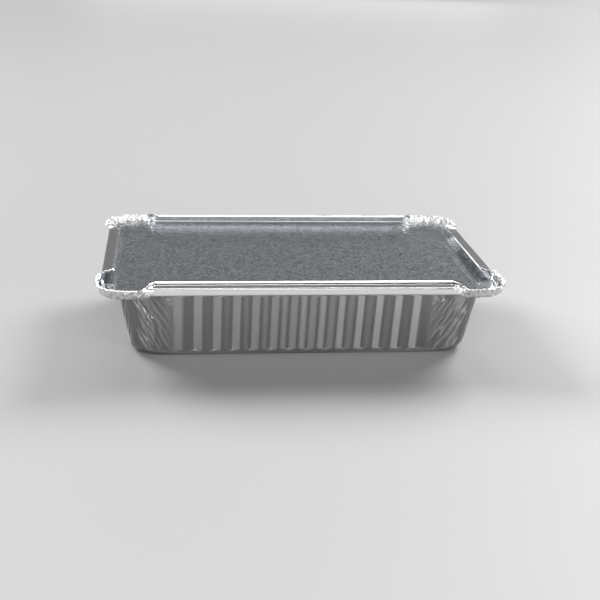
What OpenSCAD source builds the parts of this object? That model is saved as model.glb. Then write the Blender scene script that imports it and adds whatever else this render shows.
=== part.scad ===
// Foil food container: a tray drawn from one sheet of thin aluminium foil, with fluted
// walls and gathered corners, and a flat lid held by the rim, which is folded over it.
// Origin under the middle of the base, long side along X, front towards -Y, +Z up.

/* [Tray] */
// Length across the upright lips of the two short sides
rim_l = 210; // [160:1:300]
// Width across the upright lips of the two long sides
rim_w = 137; // [110:1:220]
// Height of the underside of the flange above the table
tray_h = 38.5; // [28:0.5:46]
// Thickness of the foil
foil_t = 0.1; // [0.08:0.01:0.2]
// Slope of the walls away from upright, in degrees
wall_draft = 12; // [6:0.5:15]
// Radius between the base and the fluted walls
base_r = 3; // [2:0.5:7]
// Radius between the base and the walls in the corners
corner_base_r = 8; // [3:0.5:9]
// Radius of the corners, measured at the outer line of the rim
corner_r = 26; // [24:0.5:34]

/* [Rim] */
// Width of the flange that carries the lid
flange_w = 7; // [5.5:0.5:9]
// Radius between the wall and the flange
throat_r = 1; // [0.6:0.1:1.6]
// Height of the upright lip
lip_h = 4.1; // [3.4:0.1:6]
// Depth of the flap that is folded over the lid
flap_w = 7; // [4.5:0.5:9]
// Rise of the flap towards its free edge, in degrees
flap_rise = 5; // [0:1:12]
// Radius of the two folds of the rim
fold_r = 0.8; // [0.5:0.1:1.2]
// Diameter of the rolled free edge, which lies on top of a folded flap
hem_d = 1.2; // [0.9:0.1:1.8]
// Distance from the outer corner to the end of a flap
flap_end = 28.5; // [27:0.5:34]
// Length over which the flap opens into the upright corner
flap_run = 7.5; // [5:0.5:10]

/* [Flutes] */
// Distance from one crest of the flutes to the next
flute_pitch = 10; // [7:0.5:16]
// Depth from crest to valley
flute_depth = 1.2; // [0.6:0.1:2]
// Width of the flat along each crest and valley
flute_flat = 1.2; // [0.6:0.1:2]
// Plain wall kept between a corner arc and the flutes
flute_margin = 11.5; // [8:0.5:20]
// Plain strip between the flutes and the radius under the flange
flute_top = 0.5; // [0.3:0.1:4]
// Length over which a flute runs out at its top and its foot
flute_run = 1.4; // [0.8:0.1:4]

/* [Gathered corners] */
// Number of creased panels in each corner
gather_n = 34; // [16:2:36]
// Depth of the creases in the corner walls
crease_depth = 0.55; // [0.2:0.05:0.9]
// Depth of the gathers in the corner rim
gather_depth = 0.7; // [0.2:0.05:1]
// Height of the sheet that stands above the fold in a corner
corner_lip = 4.2; // [3:0.1:6]
// Outward lean of the corner rim, in degrees
corner_lean = 12; // [5:1:30]
// Droop of the flange in a corner, in degrees
corner_droop = 11; // [0:1:14]
// Squareness of the rim's corners, where 2 is a round arc
corner_square = 4.2; // [2:0.1:6]
// How far the creases close up towards the rim
crease_fan = 0.3; // [0:0.05:0.5]

/* [Lid] */
// Thickness of the lid card
lid_t = 0.6; // [0.4:0.1:1]
// Clearance between the lid's edge and the fold at the foot of the lip
lid_gap = 0.3; // [0.2:0.1:1]

/* [Hidden] */
foil_colour = [0.78, 0.79, 0.8];
lid_colour = [0.62, 0.64, 0.66];

// Rows of the sheet's section, counted from the base to the free edge
foot_row = 2;
top_row = 5;
throat_row = 6;
last_row = 15;
rows = last_row + 1;
flute_rows = top_row - foot_row + 1;

// Heights on the wall
wall_turn = 90 - wall_draft;
throat_z = tray_h - throat_r;
flute_end = throat_z - flute_top;
flute_high = flute_end - flute_run;

// Share of a full crease that each row of the wall takes, and of a full gather that each
// row of the rim takes, downward in the flange's rows and outward above them
crease_share = [0, 0.3, 0.7, 1, 1, 0.8, 0.5];
gather_share = [0.2, 0.6, 0.8, 1, 1, 1, 1, 1, 1];
flange_steps = 2;

// Share of a full flute that each row has, from the foot of the wall to its throat
flute_share = [0, 1, 1, 0, 0];

// Shares of the upright corner rim below its rolled edge
corner_steps = [0.6, 0.2, 0.2];

// Headings of the rolled edge, turned back from the heading of the flap
hem_roll = [45, 135, 225];

// Plan of the corners, each with the angle at which its first side faces
half = [rim_l / 2 - corner_r, rim_w / 2 - corner_r];
corner_signs = [[1, -1], [1, 1], [-1, 1], [-1, -1]];
arc_l = corner_r * PI / 2;

// Flutes: half waves on the long and the short sides, and the plain wall beside them
half_pitch = flute_pitch / 2;
half_waves = [for (h = half) floor((2 * h - 2 * flute_margin) / half_pitch)];
plain_l = [for (k = [0, 1]) half[k] - half_waves[k] * half_pitch / 2];

// Uneven creases and gathers, the same at every build
wrinkle_seed = 7;
shallowest = 0.35;
unevenness = rands(shallowest, 1, 4 * (gather_n + 1), wrinkle_seed);

// Lid: its edge stays clear of the fold and its corners follow the tray's
lid_inset = fold_r + lid_gap;
lid_size = [rim_l - 2 * lid_inset, rim_w - 2 * lid_inset];
lid_r = corner_r - lid_inset;

function corner_angle(i) = 90 * i - 90;
function facing(a) = [cos(a), sin(a)];
function corner_centre(i) = [corner_signs[i].x * half.x, corner_signs[i].y * half.y];

// Sides take turns: even ones run along X and odd ones along Y
function side_kind(i) = i % 2;
function plain_before(i) = plain_l[side_kind(i)];
function plain_after(i) = plain_l[side_kind(i + 1)];

// Reach of a squared corner at an angle from its first side, as a share of its radius
function squared(a, power) = pow(pow(cos(a), power) + pow(sin(a), power), -1 / power);

// Distance along a corner, from the end of one field of flutes to the start of the next
function corner_length(i) = plain_before(i) + arc_l + plain_after(i);
function fan(v, pull) = v * (1 - pull) + pull * pow(v, 3);
function along(i, j, pull) = corner_length(i) * (1 + fan(2 * j / gather_n - 1, pull)) / 2;

// Angle on the corner's arc, between 0 and 90, for a distance along the corner
function arc_angle(i, s) = 90 * min(1, max(0, (s - plain_before(i)) / arc_l));

// Plan point at a distance s along corner i and an inset q from the rim's outer line
function corner_point(i, s, q, power) =
    let (
        a = arc_angle(i, s),
        before = max(0, plain_before(i) - s),
        after = max(0, s - plain_before(i) - arc_l),
        reach = (corner_r - q) * squared(a, power)
    )
    corner_centre(i) + reach * facing(corner_angle(i) + a)
        - before * facing(corner_angle(i) + 90) + after * facing(corner_angle(i) + 180);

// Distance from the outer corner, measured along the nearer side
function corner_distance(i, s) =
    let (
        a = arc_angle(i, s),
        near = min(a, 90 - a),
        straight = max(0, plain_before(i) - s, s - plain_before(i) - arc_l)
    )
    corner_r + straight - corner_r * tan(near);

// 1 where the flap is folded down and 0 where the rim stands upright
function smooth(x) = let (c = min(1, max(0, x))) c * c * (3 - 2 * c);
function folded(i, s) = smooth((corner_distance(i, s) - flap_end + flap_run) / flap_run);

// Section of the sheet as points [inset, height], walked along headings in degrees,
// where 0 points outward, 90 up and 180 inward
function heading(a) = [-cos(a), sin(a)];
function walk(start, headings, runs, k = 0) =
    k == len(headings)
        ? [start]
        : concat([start], walk(start + runs[k] * heading(headings[k]), headings, runs, k + 1));

function wall_inset(z) = flange_w + (tray_h - z) * tan(wall_draft);
function foot_point(r, turn) =
    [wall_inset(0) + r * (tan(wall_turn / 2) - sin(turn)), r * (1 - cos(turn))];

// Base edge and wall, pushed inward by the flute and by the crease, from a foot of radius r
function wall_section(r, flute, crease) =
    let (
        foot_z = foot_point(r, wall_turn).y,
        heights = [foot_z, foot_z + flute_run, flute_high, flute_end, throat_z],
        foot = [foot_point(r, 0), foot_point(r, wall_turn / 2) + [crease * crease_share[1], 0]]
    )
    concat(foot, [
        for (k = [0:len(heights) - 1])
            let (push = flute * flute_share[k] + crease * crease_share[k + foot_row])
            [wall_inset(heights[k]) + push, heights[k]]
    ]);

// A size mixed from two, with a share of the first
function mix(a, b, share) = a * share + b * (1 - share);

// Flange, lip, flap and rolled edge. A flap first loses its depth towards its end, and only
// then stands up.
function rim_section(fold, gather) =
    let (
        bend = fold_r * sqrt(2),
        flange = flange_w - throat_r - fold_r,
        stand = 90 - corner_lean,
        side_turns = [0, 45, 90, 135, 180 - flap_rise],
        corner_turns = [-corner_droop, stand / 2, stand, stand, stand],
        side_runs = [flange, bend, lip_h - 2 * fold_r, bend, flap_w - fold_r - hem_d / 2],
        corner_runs = concat([flange, bend], corner_lip * corner_steps),
        steps = [0:len(side_turns) - 1],
        turned = 1 - pow(1 - fold, 2),
        grown = pow(fold, 2),
        turns = [for (k = steps) mix(side_turns[k], corner_turns[k], turned)],
        runs = [for (k = steps) mix(side_runs[k], corner_runs[k], grown)],
        hem_turns = [for (roll = hem_roll) turns[len(turns) - 1] - roll],
        hem_runs = [for (turn = hem_turns) hem_d / sqrt(2)],
        path = walk([flange_w - throat_r, tray_h], concat(turns, hem_turns), concat(runs, hem_runs))
    )
    [
        for (k = [0:len(path) - 1])
            path[k] - gather * gather_share[k] * (k < flange_steps ? [0, 1] : [1, 0])
    ];

function section(foot_r, fold, flute, crease, gather) =
    concat(wall_section(foot_r, flute, crease), rim_section(fold, gather));

// The other face of the sheet: the section moved across by the thickness of the foil
function turn_of(d) = atan2(d.y, -d.x);
function across(path, t) = [
    for (k = [0:len(path) - 1])
        let (
            last = len(path) - 1,
            a = turn_of(path[max(k, 1)] - path[max(k, 1) - 1]),
            b = turn_of(path[min(k, last - 1) + 1] - path[min(k, last - 1)]),
            half_bend = ((b - a + 540) % 360 - 180) / 2
        )
        path[k] + t / cos(half_bend) * heading(a + half_bend + 90)
];

// One column of the sheet in a corner, on its outer face (t = 0) or its inner face
function corner_column(i, j, t) =
    let (
        v = 2 * j / gather_n - 1,
        at_rim = along(i, j, crease_fan),
        fold = folded(i, at_rim),
        depth = unevenness[i * (gather_n + 1) + j] * (j % 2),
        crease = crease_depth * depth * (1 - pow(v, 4)),
        gather = gather_depth * depth * (1 - fold),
        foot_r = mix(corner_base_r, base_r, pow(1 - pow(v, 2), 2)),
        path = across(section(foot_r, fold, 0, crease, gather), t)
    )
    [
        for (r = [0:last_row])
            let (
                rise = min(1, path[r].y / tray_h),
                s = along(i, j, crease_fan * rise),
                power = r > throat_row + 1 ? corner_square : 2,
                p = corner_point(i, s, path[r].x, power)
            )
            [p.x, p.y, path[r].y]
    ];

// Flutes of one side: the distance along the side and the height of each fold line
function flute_lines(n) = [
    for (k = [1:n - 1], side = [-1, 1])
        [k * half_pitch + side * flute_flat / 2, k % 2 == 0 ? 1 : -1]
];

function flute_column(i, line, t) =
    let (
        path = across(section(base_r, 1, line[1] * flute_depth / 2, 0, 0), t),
        away = plain_after(i) + line[0]
    )
    [
        for (r = [foot_row:top_row])
            let (
                p = corner_centre(i) + (corner_r - path[r].x) * facing(corner_angle(i) + 90)
                    + away * facing(corner_angle(i) + 180)
            )
            [p.x, p.y, path[r].y]
    ];

// Numbering of the points: the corners' columns first, then the flutes', then the base
side_lines = [for (i = [0:3]) flute_lines(half_waves[side_kind(i + 1)])];
line_counts = [for (lines = side_lines) len(lines)];
function sum_before(list, k) = k == 0 ? 0 : list[k - 1] + sum_before(list, k - 1);
corner_total = 4 * (gather_n + 1) * rows;
face_total = corner_total + sum_before(line_counts, 4) * flute_rows + 1;

function corner_id(i, j, r) = ((i % 4) * (gather_n + 1) + j) * rows + r;
function flute_id(i, k, r) =
    corner_total + (sum_before(line_counts, i) + k) * flute_rows + r - foot_row;
function corner_ids(i, r) = [for (j = [0:gather_n]) corner_id(i, j, r)];
function side_ids(i, r) =
    concat(
        [corner_id(i, gather_n, r)],
        r < foot_row || r > top_row ? [] : [for (k = [0:line_counts[i] - 1]) flute_id(i, k, r)],
        [corner_id(i + 1, 0, r)]
    );

function sheet_face(t) =
    concat(
        [for (i = [0:3], j = [0:gather_n]) each corner_column(i, j, t)],
        [for (i = [0:3], line = side_lines[i]) each flute_column(i, line, t)],
        [[0, 0, t]]
    );

// Triangles between two rows of points, of equal number or with one row of only two
function band(a, b) = [
    for (k = [0:len(a) - 2])
        each [[a[k], b[k], b[k + 1]], [a[k], b[k + 1], a[k + 1]]]
];
function spread(pair, many) =
    let (middle = floor(len(many) / 2))
    concat(
        [for (k = [0:middle - 1]) [pair[0], many[k], many[k + 1]]],
        [[pair[0], many[middle], pair[1]]],
        [for (k = [middle:len(many) - 2]) [pair[1], many[k], many[k + 1]]]
    );
function flipped(faces) = [for (f = faces) [f[2], f[1], f[0]]];
function strip(a, b) =
    len(a) == len(b)
        ? band(a, b)
        : len(a) < len(b) ? spread(a, b) : flipped(spread(b, a));

function row_ring(r) = [for (i = [0:3]) each concat(corner_ids(i, r), [corner_id(i + 1, 0, r)])];
function sheet_strips() =
    concat(
        [
            for (r = [0:last_row - 1], i = [0:3])
                each concat(
                    strip(corner_ids(i, r), corner_ids(i, r + 1)),
                    strip(side_ids(i, r), side_ids(i, r + 1))
                )
        ],
        let (ring = row_ring(0), middle = face_total - 1)
        [for (k = [0:len(ring) - 2]) if (ring[k] != ring[k + 1]) [middle, ring[k], ring[k + 1]]]
    );

module tray() {
    outer_strips = sheet_strips();
    inner_strips = [for (f = flipped(outer_strips)) f + [face_total, face_total, face_total]];
    edge = row_ring(last_row);
    inner_edge = [for (id = edge) id + face_total];
    edge_strip = [
        for (k = [0:len(edge) - 2])
            if (edge[k] != edge[k + 1])
                each band([edge[k], edge[k + 1]], [inner_edge[k], inner_edge[k + 1]])
    ];
    color(foil_colour)
        polyhedron(
            points = concat(sheet_face(0), sheet_face(foil_t)),
            faces = concat(outer_strips, inner_strips, edge_strip)
        );
}

module rounded_sheet(l, w, r) {
    square([l - 2 * r, w], center = true);
    square([l, w - 2 * r], center = true);
    for (x = [-1, 1], y = [-1, 1])
        translate([x * (l / 2 - r), y * (w / 2 - r)])
            circle(r, $fn = 64);
}

module lid() {
    color(lid_colour)
        translate([0, 0, tray_h + foil_t])
            linear_extrude(lid_t)
                rounded_sheet(lid_size.x, lid_size.y, lid_r);
}

tray();
lid();
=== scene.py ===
"""Looks of the foil food container: the creased foil tray, its lid, the light and the camera.

Everything is in metres, in the part's own frame: the container stands on z = 0 with its
long side along X and its front towards -Y. Angles that have a name in capitals are in
degrees.
"""

import math

import bpy
import numpy as np
from mathutils import Matrix, Vector, noise


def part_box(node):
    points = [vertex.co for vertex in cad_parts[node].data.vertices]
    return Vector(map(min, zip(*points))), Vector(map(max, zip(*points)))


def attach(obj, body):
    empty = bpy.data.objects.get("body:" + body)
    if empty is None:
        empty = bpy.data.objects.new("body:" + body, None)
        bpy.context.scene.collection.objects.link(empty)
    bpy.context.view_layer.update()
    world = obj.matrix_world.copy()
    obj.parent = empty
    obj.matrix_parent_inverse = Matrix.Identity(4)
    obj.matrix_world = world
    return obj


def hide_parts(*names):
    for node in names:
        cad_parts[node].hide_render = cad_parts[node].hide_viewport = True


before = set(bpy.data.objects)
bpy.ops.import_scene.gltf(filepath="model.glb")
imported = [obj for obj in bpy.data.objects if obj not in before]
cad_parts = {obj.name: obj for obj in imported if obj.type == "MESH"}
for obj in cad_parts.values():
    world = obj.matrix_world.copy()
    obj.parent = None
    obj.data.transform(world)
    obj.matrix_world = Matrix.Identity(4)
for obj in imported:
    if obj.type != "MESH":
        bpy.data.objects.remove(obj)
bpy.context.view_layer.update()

MM = 0.001

# Sizes of the sheet, as in the part
FOIL_T = 0.1 * MM
FOLD_R = 0.8 * MM
LID_GAP = 0.3 * MM
CORNER_R = 26 * MM
WALL_DRAFT = 12.0
BASE_R = 3.0 * MM
CORNER_BASE_R = 8.0 * MM
FLANGE_W = 7 * MM
THROAT_R = 1.0 * MM
LIP_H = 4.1 * MM
FLAP_W = 7 * MM
FLAP_RISE = 5.0
HEM_D = 1.2 * MM
FLAP_END = 28.5 * MM
FLAP_RUN = 7.5 * MM
HALF_WAVE = 5 * MM
FLUTE_DEPTH = 1.2 * MM
FLUTE_FLAT = 1.2 * MM
FLUTE_MARGIN = 11.5 * MM
FLUTE_TOP = 0.5 * MM
FLUTE_RUN = 1.4 * MM
CORNER_LIP = 4.2 * MM
CORNER_LEAN = 12.0
CORNER_DROOP = 11.0
CORNER_SQUARE = 4.2
CREASE_FAN = 0.3

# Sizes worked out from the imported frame
LID_LOW, LID_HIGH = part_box("lid")
LID_INSET = FOLD_R + LID_GAP
RIM_L = LID_HIGH.x - LID_LOW.x + 2 * LID_INSET
RIM_W = LID_HIGH.y - LID_LOW.y + 2 * LID_INSET
TRAY_H = LID_LOW.z - FOIL_T

# Plan: half lengths between the corner arcs, the flutes' half waves on each side and the
# plain stretch between them and the arc. ROUNDING keeps a whole number whole.
ROUNDING = 1e-6
HALF = (RIM_L / 2 - CORNER_R, RIM_W / 2 - CORNER_R)
CORNER_SIGNS = ((1, -1), (1, 1), (-1, 1), (-1, -1))
ARC_L = CORNER_R * math.pi / 2
HALF_WAVES = [math.floor((2 * h - 2 * FLUTE_MARGIN) / HALF_WAVE + ROUNDING) for h in HALF]
PLAIN = [h - n * HALF_WAVE / 2 for h, n in zip(HALF, HALF_WAVES)]

# Headings of the wall and of the upright corner rim
WALL_TURN = 90 - WALL_DRAFT
STAND = 90 - CORNER_LEAN

# Fineness of the mesh: columns across a corner, the step along a straight rim, the rows
# that shape a flute's run-out, and the steps of the section's roundings
CORNER_COLUMNS = 130
RIM_STEP = HALF_WAVE / 2
RUN_ROWS = 4
FOOT_STEPS, THROAT_STEPS, FOLD_STEPS, HEM_STEPS = 5, 3, 4, 7

# Rounding of the flutes' edges, and the gap from a run-out's end to the wall's next row
EDGE_ROUND = 0.2 * MM
RUN_MARGIN = 0.4 * MM

# Shares of the upright corner rim: below its top, then two short steps up to the rolled edge
CORNER_STEPS = (0.6, 0.2, 0.2)

# Turn of the rolled edge around its bead
HEM_TURN = 300

# Width of the base's outermost strip, measured from the wall's slope carried down to the base
BASE_STRIP = 8.5 * MM

# Slanting tucks of a corner's wall, in millimetres. A band is the lowest and highest start
# of its tucks and the gap between them. The reach is how far from the corner's middle they
# start.
TUCK_BANDS = ((28, 37, 2.0), (18, 29, 2.2), (8, 19, 2.5))
TUCK_REACH = 19

# Lowest end of a slanting tuck, straight steps of a tuck's line, and power of its fading
TUCK_LOWEST = 1.5 * MM
TUCK_STEPS = 8
TUCK_FADE = 0.6

# Section of a tuck on its steep side and its easy side, as shares of its width
TUCK_STEEP, TUCK_EASY = 0.3, 0.7

# Bent tucks beside a long side's first flute: three points, each a distance before the
# flutes and a height, and the depth, all in millimetres
EDGE_TUCKS = (
    ((9.0, 37.0), (5.0, 34.0), (1.0, 34.2), 0.95),
    ((10.0, 36.0), (6.0, 32.0), (1.0, 30.2), 1.0),
    ((4.5, 1.5), (3.0, 3.0), (0.8, 5.0), 0.6),
)
EDGE_TUCK_WIDTH = 2.2 * MM

# Powers by which the slanting and the bent tucks fade at a corner's ends
TUCK_POWERS = (6, 24)

# Pleats of a corner's rim: their number, their width as a share of the corner, their depth
PLEATS = 48
PLEAT_WIDTH = 0.026
PLEAT_DEPTH = 0.85 * MM

# How much a corner's wall is crumpled, as a share of its rim
WALL_CRUMPLED = 0.14

# Mix of ridges and plain noise in the crumpling, and how much finer the plain noise is
RIDGES = 0.6
FINER = 2.3

# An edge at which the sheet turns by more than this is shaded as sharp
SHARP_ANGLE = 35

# Height over which the look of the wall gives way to that of the flange
WALL_FADE = 2 * MM

# Foil's own bright colour, and a darker colour painted into it as a painted dark reflection;
# how much of that painted dark the wall and the gathered foil take, and more where the wall is
# gathered, as at the corners.
# The photo's foil is dark there because it mirrors a dark table, which this scene hasn't.
FOIL_BRIGHT = (0.94, 0.943, 0.946, 1)
FOIL_PAINTED_DARK = (0.28, 0.283, 0.287, 1)
WALL_PAINTED_DARK, GATHERED_PAINTED_DARK, CREASED_PAINTED_DARK = 0.88, 0.22, 0.9

# Foil's least and most roughness, spread by its grain, and what the wall and the gathered
# foil add to it
FOIL_ROUGH = (0.1, 0.2)
WALL_ROUGH, GATHERED_ROUGH = 0.19, 0.12

# Anisotropy of the wall, and the share of a full turn that makes its reflections upright
WALL_DRAWN = 0.9
UPRIGHT = 0.25

# Foil's grain and crinkle: scale of the noise, height of the bump, and for the crinkle how
# much it is drawn out upwards
FOIL_GRAIN, FOIL_GRAIN_H = 1100, 0.012 * MM
CRINKLE, CRINKLE_H, CRINKLE_UPRIGHT = 800, 0.8 * MM, 0.35

# Lid: its darkest and lightest colour, the part of the noise that they spread over, the
# roughness, the scale of the emboss and the height of its bump
LID_DARK = (0.5, 0.53, 0.56, 1)
LID_LIGHT = (0.84, 0.87, 0.9, 1)
LID_SPREAD = (0.36, 0.64)
LID_ROUGH = (0.14, 0.24)
LID_GRAIN, LID_GRAIN_H = 750, 0.08 * MM

NOISE_DETAIL = 3

# Floor: half its width, its colour and its roughness
FLOOR_REACH = 12.0
FLOOR_COLOUR = (0.42, 0.42, 0.42, 1)
FLOOR_ROUGH = 0.6

# Suns on either side behind the object: azimuth, elevation, distance, energy and disc
SUN_AZIMUTH, SUN_ELEVATION, SUN_DISTANCE, SUN_ENERGY, SUN_DISC = 140, 30, 3.0, 2.9, 25

# Panels of light: azimuth and elevation in degrees, then distance, energy, width and height
PANELS = (
    ("left_light", -30, 8, 1.4, 6.0, 0.75, 0.38),
    ("right_light", 45, 8, 1.4, 9.0, 0.7, 0.38),
    ("low_back_light", 174, 5.5, 2.4, 1.3, 1.1, 0.3),
    ("low_left_back_light", -156, 17, 2.4, 0.5, 0.5, 0.35),
    ("top_light", 176, 58, 1.5, 5.0, 1.2, 0.3),
    ("front_light", -7, 37, 2.0, 7.5, 1.6, 0.95),
)
WORLD_COLOUR = (0.18, 0.18, 0.183, 1)

rng = np.random.default_rng(11)


def smooth(x):
    """Ramp from 0 to 1 with soft ends."""
    x = np.clip(x, 0.0, 1.0)
    return x * x * (3 - 2 * x)


def arc(radius, turn, count):
    """Length of the chords that make an arc of that radius and turn in count steps."""
    return 2 * radius * math.sin(math.radians(turn) / count / 2) * count


def tangent(radius):
    """Distance from a rounding's end to the meeting point of its base and its wall."""
    return radius * math.tan(math.radians(WALL_TURN / 2))


def section_groups():
    """Stretches of the sheet's section, from the base to the free edge.

    Each is (name, steps, headings on a side, headings in a corner, length on a side,
    length in a corner). Heading 0 points outward, 90 up and 180 inward.
    """
    throat = tangent(THROAT_R)
    slope = TRAY_H / math.cos(math.radians(WALL_DRAFT)) - throat
    wall = [slope - tangent(radius) for radius in (BASE_R, CORNER_BASE_R)]
    foot = [arc(radius, WALL_TURN, FOOT_STEPS) for radius in (BASE_R, CORNER_BASE_R)]
    base = [BASE_STRIP - tangent(radius) for radius in (BASE_R, CORNER_BASE_R)]
    flange = FLANGE_W - throat - FOLD_R
    flap = FLAP_W - FOLD_R - HEM_D / 2
    flap_turn = 180 - FLAP_RISE
    droop = -CORNER_DROOP
    neck = arc(THROAT_R, WALL_TURN, THROAT_STEPS)
    bend = arc(FOLD_R, 90, FOLD_STEPS)
    hem = arc(HEM_D / 2, HEM_TURN, HEM_STEPS)
    hem_side, hem_corner = (flap_turn, flap_turn - HEM_TURN), (STAND, STAND - HEM_TURN)
    lip, crown, top = (CORNER_LIP * share for share in CORNER_STEPS)
    return (
        ("base", 1, (0, 0), (0, 0), *base),
        ("foot", FOOT_STEPS, (0, WALL_TURN), (0, WALL_TURN), *foot),
        ("wall", 34, (WALL_TURN, WALL_TURN), (WALL_TURN, WALL_TURN), *wall),
        ("throat", THROAT_STEPS, (WALL_TURN, 0), (WALL_TURN, droop), neck, neck),
        ("flange", 4, (0, 0), (droop, droop), flange, flange),
        ("fold", FOLD_STEPS, (0, 90), (droop, STAND), bend, bend),
        ("lip", 4, (90, 90), (STAND, STAND), LIP_H - 2 * FOLD_R, lip),
        ("crown", 3, (90, flap_turn), (STAND, STAND), bend, crown),
        ("flap", 4, (flap_turn, flap_turn), (STAND, STAND), flap, top),
        ("hem", HEM_STEPS, hem_side, hem_corner, hem, hem),
    )


GROUPS = section_groups()
STEP_GROUP = [g[0] for g in GROUPS for _ in range(g[1])]
ROWS = len(STEP_GROUP) + 1


def rows_of(*names):
    """Numbers of the rows at which a step of one of these groups ends."""
    return [k + 1 for k, name in enumerate(STEP_GROUP) if name in names]


def row_shares(*ramps):
    """Shares of all rows: each ramp gives its first and last share and its groups."""
    shares = np.zeros(ROWS)
    for first, last, *names in ramps:
        rows = rows_of(*names)
        shares[rows] = np.linspace(first, last, len(rows))
    return shares


def section(fold, rounded=0.0):
    """Insets, heights and inward normals of the section's points.

    fold says how far the rim is folded and rounded how far the foot has the corner's radius.
    """
    turned = 1 - (1 - fold) ** 2
    headings, runs = [], []
    for name, count, side, corner, side_l, corner_l in GROUPS:
        grown = 1 - rounded if name in ("base", "foot", "wall") else fold ** 2
        for k in range(count):
            share = (k + 0.5) / count
            on_side = side[0] + (side[1] - side[0]) * share
            in_corner = corner[0] + (corner[1] - corner[0]) * share
            headings.append(math.radians(on_side * turned + in_corner * (1 - turned)))
            runs.append((side_l * grown + corner_l * (1 - grown)) / count)
    headings, runs = np.array(headings), np.array(runs)
    insets = np.concatenate([[0], np.cumsum(-runs * np.cos(headings))])
    heights = np.concatenate([[0], np.cumsum(runs * np.sin(headings))])
    before = np.concatenate([headings[:1], headings])
    after = np.concatenate([headings, headings[-1:]])
    facing_in = (before + after) / 2 + math.pi / 2
    return insets, heights, np.stack([-np.cos(facing_in), np.sin(facing_in)], 1)


FOOT_ROW = rows_of("foot")[-1]
WALL_ROW = rows_of("wall")[-1]
THROAT_ROW = rows_of("throat")[-1]
LIP_ROW = rows_of("lip")[0]

# Section on a straight side, with its insets measured from the rim's outermost line
SIDE_INSETS, SIDE_HEIGHTS, _ = section(1.0)
OUTER_LINE = SIDE_INSETS[LIP_ROW]
SIDE_INSETS = SIDE_INSETS - OUTER_LINE

# Shares of the tucks, of the pleats, of the pleats' push outward and of the crumpling
WALL_SHARE = row_shares((0.1, 0.9, "foot"), (1, 1, "wall"), (0.6, 0.15, "throat"))
RIM = ("fold", "lip", "crown", "flap", "hem")
RIM_SHARE = row_shares((0.3, 0.9, "flange"), (1, 1, *RIM))
OUTWARD_SHARE = row_shares((0, 1, "flange", "fold"), (1, 1, *RIM[1:]))
CRUMPLE_SHARE = row_shares((0.05, 0.4, "flange"), (1, 1, *RIM))


def corner_angle(i):
    """Direction, in radians, that the side before corner i faces."""
    return math.radians(90 * i - 90)


def facing(angle):
    """Unit vector in plan at an angle in radians."""
    return np.stack([np.cos(angle), np.sin(angle)], -1)


def corner_centre(i):
    """Centre of corner i's arc in plan."""
    return np.array([CORNER_SIGNS[i][0] * HALF[0], CORNER_SIGNS[i][1] * HALF[1]])


def plain_before(i):
    """Plain stretch on the side before corner i."""
    return PLAIN[i % 2]


def plain_after(i):
    """Plain stretch on the side after corner i."""
    return PLAIN[(i + 1) % 2]


def squared(angle, power):
    """Reach of a squared corner at an angle from its first side, as a share of its radius."""
    c, s = np.abs(np.cos(angle)), np.abs(np.sin(angle))
    return (c ** power + s ** power) ** (-1 / power)


def corner_along(i, u, pull):
    """Distance along corner i for u from 0 to 1, closed up towards the middle by pull."""
    v = 2 * u - 1
    length = plain_before(i) + ARC_L + plain_after(i)
    return length * (1 + v * (1 - pull) + pull * v ** 3) / 2


def corner_place(i, s):
    """Angle on the arc of corner i at distances s, and the straight lengths beside it."""
    angle = np.clip((s - plain_before(i)) / ARC_L, 0, 1) * math.pi / 2
    before = np.maximum(0, plain_before(i) - s)
    after = np.maximum(0, s - plain_before(i) - ARC_L)
    return angle, before, after


def corner_plan(i, s, reach):
    """Plan points at distances s along corner i, reach away from its centre lines."""
    angle, before, after = corner_place(i, s)
    first = corner_angle(i)
    plan = corner_centre(i) + reach[..., None] * facing(first + angle)
    plan = plan - before[..., None] * facing(first + math.pi / 2)
    return plan + after[..., None] * facing(first + math.pi)


def folded(i, s):
    """1 where the flap lies folded over the lid, and 0 in the upright corner."""
    angle, before, after = corner_place(i, s)
    near = np.minimum(angle, math.pi / 2 - angle)
    distance = CORNER_R + before + after - CORNER_R * np.tan(near)
    return smooth((distance - FLAP_END + FLAP_RUN) / FLAP_RUN)


def pleats(u, count, width, depth):
    """Chance pleats across a corner, as lopsided folds that run up its rim."""
    field = np.zeros(u.shape)
    centres = (np.arange(count) + rng.uniform(0.15, 0.85, count)) / count
    for centre in centres:
        half = width * rng.uniform(0.55, 1.25) / 2
        peak = rng.choice([-0.5, 0.5])
        fold = np.interp((u - centre) / half, [-1, peak, 1], [0, 1, 0])
        field += depth * rng.uniform(0.35, 1.0) * fold
    return field


def tuck(places, start, bend, end, width, depth):
    """Depth of one bent tuck at places, each a distance along the wall and a height.

    Its section is a sawtooth: steep on one side of its line and easy on the other.
    """
    start, bend, end = (np.array(point) for point in (start, bend, end))
    t = np.linspace(0, 1, TUCK_STEPS + 1)[:, None]
    line = (1 - t) ** 2 * start + 2 * t * (1 - t) * bend + t ** 2 * end
    steps = line[1:] - line[:-1]
    rel = places[..., None, :] - line[:-1]
    share = np.clip((rel * steps).sum(-1) / (steps ** 2).sum(-1), 0, 1)
    away = rel - share[..., None] * steps
    distance = np.linalg.norm(away, axis=-1)
    nearest = distance.argmin(-1)[..., None]
    side = np.sign(steps[:, 0] * rel[..., 1] - steps[:, 1] * rel[..., 0])
    signed = np.take_along_axis(distance * side, nearest, -1)[..., 0] / width
    t = (np.take_along_axis(share, nearest, -1)[..., 0] + nearest[..., 0]) / len(steps)
    fade = np.clip(np.sin(math.pi * t), 0, 1) ** TUCK_FADE
    return depth * fade * np.interp(signed, [-TUCK_STEEP, 0, TUCK_EASY], [0, 1, 0])


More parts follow.
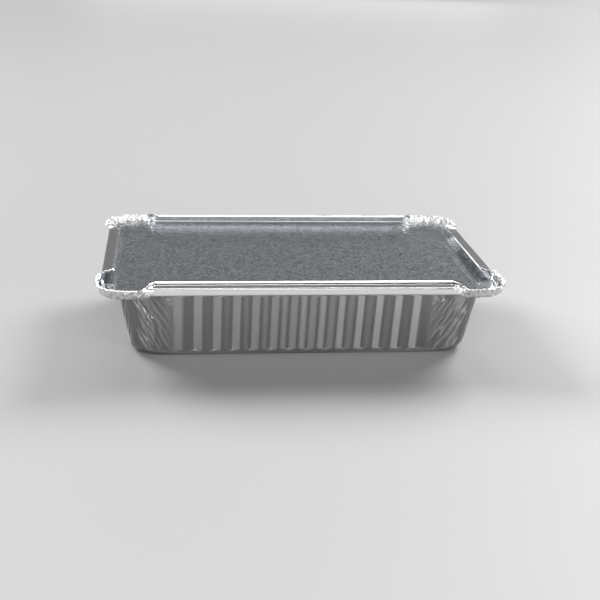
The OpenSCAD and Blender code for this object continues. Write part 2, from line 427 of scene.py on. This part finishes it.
def wall_tucks(places):
    """Creases of a corner's wall: staggered slanting tucks that spread downwards."""
    field = np.zeros(places.shape[:-1])
    for low, high, gap in TUCK_BANDS:
        for middle in np.arange(-TUCK_REACH, TUCK_REACH + 0.1, gap):
            onward = 1 if middle > 0 else -1
            across = (middle + rng.uniform(-0.8, 0.8)) * MM
            top = rng.uniform(low, high) * MM
            drop = min(top - TUCK_LOWEST, rng.uniform(7, 15) * MM)
            lean = rng.uniform(0.25, 0.6) * drop * onward
            bow = rng.uniform(-0.12, 0.12) * drop
            start = (across, top)
            bend = (across + lean / 2 + bow, top - drop / 2)
            end = (across + lean, top - drop)
            width = rng.uniform(1.1, 2.2) * MM * onward
            depth = rng.uniform(0.25, 0.7) * MM
            field += tuck(places, start, bend, end, width, depth)
    return field


def edge_tucks(places, i):
    """Bent tucks of corner i, between its arc and the first flute of each long side."""
    field = np.zeros(places.shape[:-1])
    onward = 1 if i % 2 else -1
    half_arc = ARC_L * 0.5 * (CORNER_R - FLANGE_W) / CORNER_R
    flutes = half_arc + FLUTE_MARGIN
    for *points, depth in EDGE_TUCKS:
        line = [(onward * (flutes - x * MM), z * MM) for x, z in points]
        field += tuck(places, *line, EDGE_TUCK_WIDTH, depth * MM)
    return field


def corner_patch(i):
    """Points of corner i as columns of the section, and how far each is gathered."""
    u = np.linspace(0, 1, CORNER_COLUMNS + 1)
    fold = folded(i, corner_along(i, u, CREASE_FAN))
    rounded = (1 - (2 * u - 1) ** 2) ** 2
    insets, heights, normals = (np.stack(x) for x in zip(*map(section, fold, rounded)))
    insets = insets - OUTER_LINE
    rise = np.clip(heights / TRAY_H, 0, 1)
    s = corner_along(i, u[:, None], CREASE_FAN * rise)
    angle, before, after = corner_place(i, s)
    radius = CORNER_R - insets
    along = (angle - math.pi / 4) * radius + after - before
    edge, last = (1 - np.abs(2 * u[:, None] - 1) ** power for power in TUCK_POWERS)
    places = np.stack([along, heights], -1)
    wall = (wall_tucks(places) * edge + edge_tucks(places, i) * last) * WALL_SHARE
    upright = (1 - fold)[:, None]
    bending = 4 * (fold * (1 - fold))[:, None]
    rim = pleats(u, PLEATS, PLEAT_WIDTH, PLEAT_DEPTH)[:, None] * RIM_SHARE
    rim = rim * np.maximum(upright, bending / 2)
    power = np.where(np.arange(ROWS) > THROAT_ROW, CORNER_SQUARE, 2.0)
    reach = radius * squared(angle, power) - wall * normals[..., 0] + rim * OUTWARD_SHARE
    plan = corner_plan(i, s, reach)
    height = heights + wall * normals[..., 1] - rim * (1 - OUTWARD_SHARE)
    crumpled = WALL_SHARE * edge * WALL_CRUMPLED
    crumpled = crumpled + CRUMPLE_SHARE * np.maximum(upright, bending)
    return np.concatenate([plan, height[..., None]], -1), np.clip(crumpled, 0, 1)


def flute_profile(x, count):
    """Push of the flutes at distances x along a field of count half waves, from -1 to 1."""
    knots, levels = [0.0], [0.0]
    for k in range(1, count):
        level = 1 if k % 2 == 0 else -1
        knots += [k * HALF_WAVE - FLUTE_FLAT / 2, k * HALF_WAVE + FLUTE_FLAT / 2]
        levels += [level, level]
    knots.append(count * HALF_WAVE)
    levels.append(0.0)

    def sharp(at):
        return np.interp(at, knots, levels)

    return (sharp(x - EDGE_ROUND) + 2 * sharp(x) + sharp(x + EDGE_ROUND)) / 4


def flute_columns(count):
    """Distances along a field of flutes at which the mesh has a column."""
    places = []
    for k in range(1, count):
        for edge in (-FLUTE_FLAT / 2, FLUTE_FLAT / 2):
            places += [k * HALF_WAVE + edge - EDGE_ROUND, k * HALF_WAVE + edge + EDGE_ROUND]
    middles = [(k + 0.5) * HALF_WAVE for k in range(count)]
    return np.array(sorted(places + middles))


def side_points(i, x, insets, heights):
    """Points at distances x along the straight side after corner i."""
    outward = facing(corner_angle(i) + math.pi / 2)
    onward = facing(corner_angle(i) + math.pi)
    plan = corner_centre(i) + (plain_after(i) + x)[:, None, None] * onward
    plan = plan + (CORNER_R - insets)[..., None] * outward
    return np.concatenate([plan, np.broadcast_to(heights, insets.shape)[..., None]], -1)


def plain_patch(i, rows, step):
    """Points of a straight side that has no flutes, on some rows of the section."""
    length = HALF_WAVES[(i + 1) % 2] * HALF_WAVE
    x = np.linspace(0, length, round(length / step) + 1)[1:-1]
    insets = np.tile(SIDE_INSETS[rows], (len(x), 1))
    return side_points(i, x, insets, SIDE_HEIGHTS[rows]), x


def flute_patch(i):
    """Points of the fluted wall of a straight side, with their distances and heights."""
    count = HALF_WAVES[(i + 1) % 2]
    x = flute_columns(count)
    foot_z, throat_z = SIDE_HEIGHTS[FOOT_ROW], SIDE_HEIGHTS[WALL_ROW]
    top_z = throat_z - FLUTE_TOP
    run = FLUTE_RUN * np.arange(1, RUN_ROWS + 1) / RUN_ROWS
    run = np.append(run, FLUTE_RUN + RUN_MARGIN)
    heights = np.concatenate([foot_z + run, (top_z - run)[::-1]])
    ramp = smooth((heights - foot_z) / FLUTE_RUN) * smooth((top_z - heights) / FLUTE_RUN)
    push = FLUTE_DEPTH / 2 * np.outer(flute_profile(x, count), ramp)
    wall = slice(FOOT_ROW, WALL_ROW + 1)
    insets = np.interp(heights, SIDE_HEIGHTS[wall], SIDE_INSETS[wall])
    insets = insets + push * math.cos(math.radians(WALL_DRAFT))
    return side_points(i, x, insets, heights), x, heights


def grid_faces(ids):
    """Four-sided faces between neighbouring columns and rows of point numbers."""
    a, b, c, d = ids[:-1, :-1], ids[1:, :-1], ids[1:, 1:], ids[:-1, 1:]
    return np.stack([a, b, c, d], -1).reshape(-1, 4).tolist()


def stitch(right, right_at, left, left_at):
    """Triangles between two lines of points with unlike spacing, seen along the lines."""
    faces, i, j = [], 0, 0
    while i < len(right) - 1 or j < len(left) - 1:
        next_right = right_at[i + 1] if i < len(right) - 1 else math.inf
        next_left = left_at[j + 1] if j < len(left) - 1 else math.inf
        if next_right <= next_left:
            faces.append((right[i], right[i + 1], left[j]))
            i += 1
        else:
            faces.append((right[i], left[j + 1], left[j]))
            j += 1
    return faces


def sheet_mesh():
    """Points, faces and gathering of the whole sheet, as one face of the foil."""
    points, gathered, faces = [], [], []

    def add(patch, share=None):
        first = sum(len(p) for p in points)
        points.append(patch.reshape(-1, 3))
        gathered.append(np.zeros(patch[..., 0].size) if share is None else share.reshape(-1))
        return first + np.arange(patch[..., 0].size).reshape(patch.shape[:-1])

    corners = [add(*corner_patch(i)) for i in range(4)]
    ring = []
    for i in range(4):
        here, beyond = corners[i], corners[(i + 1) % 4]
        faces += grid_faces(here)
        end = HALF_WAVES[(i + 1) % 2] * HALF_WAVE
        below, above = np.arange(FOOT_ROW + 1), np.arange(WALL_ROW, ROWS)
        lower, lower_x = plain_patch(i, below, HALF_WAVE)
        upper, upper_x = plain_patch(i, above, RIM_STEP)
        lower = np.concatenate([here[-1:, below], add(lower), beyond[:1, below]])
        upper = np.concatenate([here[-1:, above], add(upper), beyond[:1, above]])
        lower_x, upper_x = (np.concatenate([[0], x, [end]]) for x in (lower_x, upper_x))
        faces += grid_faces(lower) + grid_faces(upper)
        wall, wall_x, wall_z = flute_patch(i)
        wall = add(wall)
        faces += grid_faces(wall)
        faces += stitch(lower[:, -1], lower_x, wall[:, 0], wall_x)
        faces += stitch(wall[:, -1], wall_x, upper[:, 0], upper_x)
        column = np.arange(FOOT_ROW, WALL_ROW + 1)
        column_z = SIDE_HEIGHTS[column]
        faces += stitch(wall[0], wall_z, here[-1, column], column_z)
        faces += stitch(beyond[0, column], column_z, wall[-1], wall_z)
        ring += list(here[:, 0]) + list(lower[1:-1, 0])
    faces.append(ring[::-1])
    return np.concatenate(points), faces, np.concatenate(gathered)


def crumple(points, scale, seed):
    """Creased noise at each point, from about -1 to 1. The seed moves it aside."""
    shift = Vector((seed * 3.7, seed * 1.3, seed * 7.1))
    rough = []
    for p in points:
        at = Vector(p) / scale + shift
        ridge = 1 - 2 * abs(noise.noise(at))
        rough.append(RIDGES * ridge + (1 - RIDGES) * noise.noise(at * FINER))
    return np.array(rough)


def build_tray():
    """The foil tray as one thin closed sheet."""
    points, faces, gathered = sheet_mesh()
    mesh = bpy.data.meshes.new("foil_tray")
    mesh.from_pydata(points.tolist(), [], [[int(v) for v in f] for f in faces])
    mesh.update()
    normals = np.zeros(len(points) * 3, np.float32)
    mesh.vertices.foreach_get("normal", normals)
    above_wall = smooth((points[:, 2] - TRAY_H) / THROAT_R)
    shift = np.zeros(len(points))
    # Size of the crumpling in millimetres, its seed, where it acts, its height in millimetres
    for size, seed, share, height in (
        (3.0, 1, gathered, 0.4),
        (1.3, 3, gathered, 0.2),
        (16, 2, 1, 0.1),
        (5, 4, above_wall, 0.05),
    ):
        shift += crumple(points, size * MM, seed) * share * height * MM
    shift *= smooth(points[:, 2] / BASE_R)
    points = points + normals.reshape(-1, 3) * shift[:, None]
    mesh.vertices.foreach_set("co", points.reshape(-1).astype(np.float32))
    mesh.polygons.foreach_set("use_smooth", [True] * len(mesh.polygons))
    mesh.update()
    tray = bpy.data.objects.new("foil_tray", mesh)
    bpy.context.scene.collection.objects.link(tray)
    mesh.set_sharp_from_angle(angle=math.radians(SHARP_ANGLE))
    wall = smooth((TRAY_H - THROAT_R - points[:, 2]) / WALL_FADE)
    for name, value in (("wall", wall), ("gathered", gathered)):
        layer = mesh.attributes.new(name, "FLOAT", "POINT")
        layer.data.foreach_set("value", value.astype(np.float32))
    skin = tray.modifiers.new("foil", "SOLIDIFY")
    skin.thickness = FOIL_T
    skin.offset = -1
    return tray


def new_material(name):
    """A material with its nodes and links."""
    material = bpy.data.materials.new(name)
    material.use_nodes = True
    return material, material.node_tree.nodes, material.node_tree.links


def add_attribute(nodes, name):
    """Value of an attribute of the mesh."""
    node = nodes.new("ShaderNodeAttribute")
    node.attribute_name = name
    return node.outputs["Fac"]


def add_noise(nodes, links, scale, upright=1.0):
    """A noise fixed to the object. It is drawn out upwards where upright is below 1."""
    place = nodes.new("ShaderNodeTexCoord")
    stretch = nodes.new("ShaderNodeVectorMath")
    stretch.operation = "MULTIPLY"
    stretch.inputs[1].default_value = (1, 1, upright)
    links.new(place.outputs["Object"], stretch.inputs[0])
    noise_node = nodes.new("ShaderNodeTexNoise")
    noise_node.inputs["Scale"].default_value = scale
    noise_node.inputs["Detail"].default_value = NOISE_DETAIL
    links.new(stretch.outputs["Vector"], noise_node.inputs["Vector"])
    return noise_node.outputs["Fac"]


def add_range(nodes, links, value, low, high, start=0.0, end=1.0):
    """A value that runs from start to end, spread from low to high."""
    spread = nodes.new("ShaderNodeMapRange")
    spread.inputs["From Min"].default_value = start
    spread.inputs["From Max"].default_value = end
    spread.inputs["To Min"].default_value = low
    spread.inputs["To Max"].default_value = high
    links.new(value, spread.inputs["Value"])
    return spread.outputs["Result"]


def add_math(nodes, links, operation, first, second):
    """Result of a math node on two values."""
    node = nodes.new("ShaderNodeMath")
    node.operation = operation
    links.new(first, node.inputs[0])
    links.new(second, node.inputs[1])
    return node.outputs["Value"]


def add_tint(nodes, links, factor, first, second):
    """Colour that runs from first to second."""
    tint = nodes.new("ShaderNodeMix")
    tint.data_type = "RGBA"
    tint.inputs["A"].default_value = first
    tint.inputs["B"].default_value = second
    links.new(factor, tint.inputs["Factor"])
    return tint.outputs["Result"]


def add_bump(nodes, links, height, distance, before=None):
    """Bump of a height that runs from 0 to 1, on top of an earlier bump if there is one."""
    bump = nodes.new("ShaderNodeBump")
    bump.inputs["Strength"].default_value = 1.0
    bump.inputs["Distance"].default_value = distance
    links.new(height, bump.inputs["Height"])
    if before is not None:
        links.new(before, bump.inputs["Normal"])
    return bump.outputs["Normal"]


def foil_material():
    """Bright foil with a painted dark reflection in the wall and the gathered foil; the wall
    draws reflections out, and the foil is crinkled where gathered.
    """
    material, nodes, links = new_material("foil")
    shader = nodes["Principled BSDF"]
    shader.inputs["Metallic"].default_value = 1.0
    around = nodes.new("ShaderNodeTangent")
    around.direction_type = "RADIAL"
    around.axis = "Z"
    links.new(around.outputs["Tangent"], shader.inputs["Tangent"])
    shader.inputs["Anisotropic Rotation"].default_value = UPRIGHT
    wall, gathered = add_attribute(nodes, "wall"), add_attribute(nodes, "gathered")
    links.new(add_range(nodes, links, wall, 0, WALL_DRAWN), shader.inputs["Anisotropic"])

    def wall_and_gathered(of_wall, of_gathered):
        first = add_range(nodes, links, wall, 0, of_wall)
        second = add_range(nodes, links, gathered, 0, of_gathered)
        return add_math(nodes, links, "ADD", first, second)

    # Painted dark reflection: the wall, the gathered foil and the creased corners take a darker
    # base colour in place of a mirrored dark surrounding.
    creased = add_math(nodes, links, "MULTIPLY", wall, gathered)
    creased = add_range(nodes, links, creased, 0, CREASED_PAINTED_DARK)
    painted_dark_share = add_math(nodes, links, "ADD", wall_and_gathered(WALL_PAINTED_DARK, GATHERED_PAINTED_DARK), creased)
    tint = add_tint(nodes, links, painted_dark_share, FOIL_BRIGHT, FOIL_PAINTED_DARK)
    links.new(tint, shader.inputs["Base Color"])
    grain = add_noise(nodes, links, FOIL_GRAIN)
    rough = add_range(nodes, links, grain, *FOIL_ROUGH)
    rough = add_math(nodes, links, "ADD", rough, wall_and_gathered(WALL_ROUGH, GATHERED_ROUGH))
    links.new(rough, shader.inputs["Roughness"])
    fine = add_bump(nodes, links, grain, FOIL_GRAIN_H)
    crinkle = add_noise(nodes, links, CRINKLE, CRINKLE_UPRIGHT)
    crinkle = add_math(nodes, links, "MULTIPLY", crinkle, gathered)
    links.new(add_bump(nodes, links, crinkle, CRINKLE_H, fine), shader.inputs["Normal"])
    return material


def lid_material():
    """Satin foil facing of the lid with a fine emboss."""
    material, nodes, links = new_material("lid_foil")
    shader = nodes["Principled BSDF"]
    shader.inputs["Metallic"].default_value = 1.0
    grain = add_noise(nodes, links, LID_GRAIN)
    spread = add_range(nodes, links, grain, 0, 1, *LID_SPREAD)
    tint = add_tint(nodes, links, spread, LID_DARK, LID_LIGHT)
    links.new(tint, shader.inputs["Base Color"])
    links.new(add_range(nodes, links, grain, *LID_ROUGH), shader.inputs["Roughness"])
    links.new(add_bump(nodes, links, grain, LID_GRAIN_H), shader.inputs["Normal"])
    return material


def make_camera():
    """Camera at the photograph's angle: azimuth, elevation and roll in degrees."""
    azimuth, elevation, roll = (math.radians(a) for a in (-7.25, 19.99, 2.15))
    focal_px, frame_px = 1086.0, 600
    distance = 0.6284
    target = Vector((0.0058, 0, 0.0113))
    back = Vector(
        (
            math.sin(azimuth) * math.cos(elevation),
            -math.cos(azimuth) * math.cos(elevation),
            math.sin(elevation),
        )
    )
    right = Vector((math.cos(azimuth), math.sin(azimuth), 0))
    up = back.cross(right)
    rolled_right = math.cos(roll) * right + math.sin(roll) * up
    rolled_up = -math.sin(roll) * right + math.cos(roll) * up
    eye = target + back * distance
    data = bpy.data.cameras.new("camera")
    camera = bpy.data.objects.new("camera", data)
    bpy.context.scene.collection.objects.link(camera)
    rows = [(*axis, place) for axis, place in zip(zip(rolled_right, rolled_up, back), eye)]
    camera.matrix_world = Matrix([*rows, (0, 0, 0, 1)])
    data.sensor_width = 36
    data.lens = focal_px * data.sensor_width / frame_px
    data.shift_x = -1 / frame_px
    data.clip_start, data.clip_end = 0.01, 50
    bpy.context.scene.camera = camera


def add_light(kind, name, azimuth, elevation, distance, energy):
    """A light that shines at the middle of the object, from a direction in degrees."""
    around, above = math.radians(azimuth), math.radians(elevation)
    level = math.cos(above)
    toward = Vector((math.sin(around) * level, -math.cos(around) * level, math.sin(above)))
    data = bpy.data.lights.new(name, kind)
    data.energy = energy
    light = bpy.data.objects.new(name, data)
    bpy.context.scene.collection.objects.link(light)
    light.location = toward * distance
    light.rotation_euler = toward.to_track_quat("Z", "Y").to_euler()
    light.visible_camera = False
    return data


def make_studio():
    """Pale plain floor, two suns from behind, and panels of light around and above."""
    mesh = bpy.data.meshes.new("floor")
    corners = [(-1, -1), (1, -1), (1, 1), (-1, 1)]
    corners = [(x * FLOOR_REACH, y * FLOOR_REACH, 0) for x, y in corners]
    mesh.from_pydata(corners, [], [(0, 1, 2, 3)])
    floor = bpy.data.objects.new("floor", mesh)
    bpy.context.scene.collection.objects.link(floor)
    material, nodes, _ = new_material("floor")
    nodes["Principled BSDF"].inputs["Base Color"].default_value = FLOOR_COLOUR
    nodes["Principled BSDF"].inputs["Roughness"].default_value = FLOOR_ROUGH
    mesh.materials.append(material)
    for name, side in (("back_left_light", -1), ("back_right_light", 1)):
        place = (side * SUN_AZIMUTH, SUN_ELEVATION, SUN_DISTANCE)
        sun = add_light("SUN", name, *place, SUN_ENERGY)
        sun.angle = math.radians(SUN_DISC)
    for name, azimuth, elevation, distance, energy, width, height in PANELS:
        panel = add_light("AREA", name, azimuth, elevation, distance, energy)
        panel.shape = "RECTANGLE"
        panel.size, panel.size_y = width, height
    world = bpy.data.worlds.new("studio")
    bpy.context.scene.world = world
    world.use_nodes = True
    world.node_tree.nodes["Background"].inputs["Color"].default_value = WORLD_COLOUR


make_camera()
make_studio()
bpy.context.scene.view_settings.view_transform = "Standard"

tray = build_tray()
tray.data.materials.append(foil_material())
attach(tray, "root")
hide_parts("tray")

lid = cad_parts["lid"]
lid.data.materials.clear()
lid.data.materials.append(lid_material())
